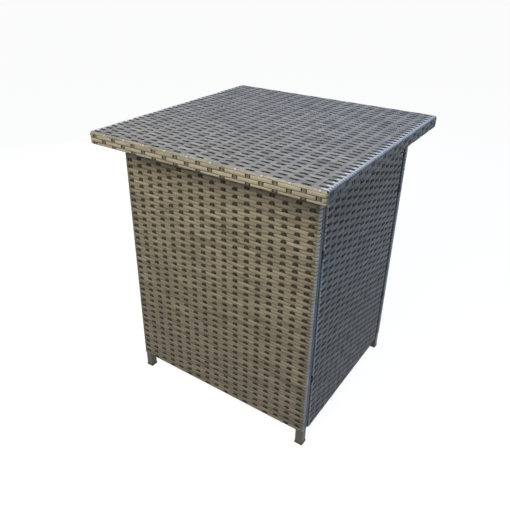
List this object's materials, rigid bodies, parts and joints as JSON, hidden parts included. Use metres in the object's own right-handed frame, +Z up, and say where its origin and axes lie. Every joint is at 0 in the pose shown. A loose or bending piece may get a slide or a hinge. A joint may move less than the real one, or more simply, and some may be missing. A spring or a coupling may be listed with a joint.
{
  "type": "cushion storage box",
  "caption": "Square woven-strand storage box on a tube frame with short legs, bolted side panels, an inner liner and an overhanging lid hinged at the back.",
  "frame": {"origin": "on the ground, under the middle of the box and of its lid", "axes": "+Z up, -Y towards the front, which the lid opens from, +X to the right as seen from the front"},
  "size_m": [0.604, 0.604, 0.71],
  "materials": {
    "frame_tube": "satin powder coat",
    "weft": "flat extruded strand, satin",
    "stake": "flat extruded strand, satin",
    "black_plastic": "moulded, matt",
    "zinc_steel": "zinc plated",
    "board": "matt sheet",
    "liner_fabric": "coated woven fabric",
    "rubber": "matt"
  },
  "bodies": {
    "box": {"front_left_leg": "frame_tube", "front_right_leg": "frame_tube", "back_left_leg": "frame_tube", "back_right_leg": "frame_tube", "front_top_rail": "frame_tube", "front_bottom_rail": "frame_tube", "back_top_rail": "frame_tube", "back_bottom_rail": "frame_tube", "left_front_post": "frame_tube", "left_back_post": "frame_tube", "left_top_rail": "frame_tube", "left_bottom_rail": "frame_tube", "right_front_post": "frame_tube", "right_back_post": "frame_tube", "right_top_rail": "frame_tube", "right_bottom_rail": "frame_tube", "base_tabs": "frame_tube", "front_weft": "weft", "back_weft": "weft", "left_weft": "weft", "right_weft": "weft", "front_leg_wraps": "weft", "back_leg_wraps": "weft", "left_post_wraps": "weft", "right_post_wraps": "weft", "front_stakes": "stake", "back_stakes": "stake", "left_stakes": "stake", "right_stakes": "stake", "panel_spacers": "black_plastic", "foot_caps": "black_plastic", "liner_studs": "black_plastic", "panel_bolts": "zinc_steel", "panel_washers": "zinc_steel", "rivet_nuts": "zinc_steel", "base_screws": "zinc_steel", "left_hinge_body_leaf": "zinc_steel", "left_hinge_pin": "zinc_steel", "right_hinge_body_leaf": "zinc_steel", "right_hinge_pin": "zinc_steel", "hinge_body_screws": "zinc_steel", "base_board": "board", "liner": "liner_fabric"},
    "lid": {"lid_front_rail": "frame_tube", "lid_back_rail": "frame_tube", "lid_left_rail": "frame_tube", "lid_right_rail": "frame_tube", "lid_front_crossbar": "frame_tube", "lid_back_crossbar": "frame_tube", "lid_top_weft": "weft", "lid_edge_weft": "weft", "lid_stakes": "stake", "lid_buffers": "rubber", "left_hinge_lid_leaf": "zinc_steel", "right_hinge_lid_leaf": "zinc_steel", "hinge_lid_screws": "zinc_steel"}
  },
  "joints": [
    {"name": "lid_hinge", "type": "hinge", "parent": "box", "child": "lid", "pos_m": [0, 0.244, 0.6782], "axis": [-1, 0, 0], "range_deg": [0, 94]}
  ]
}
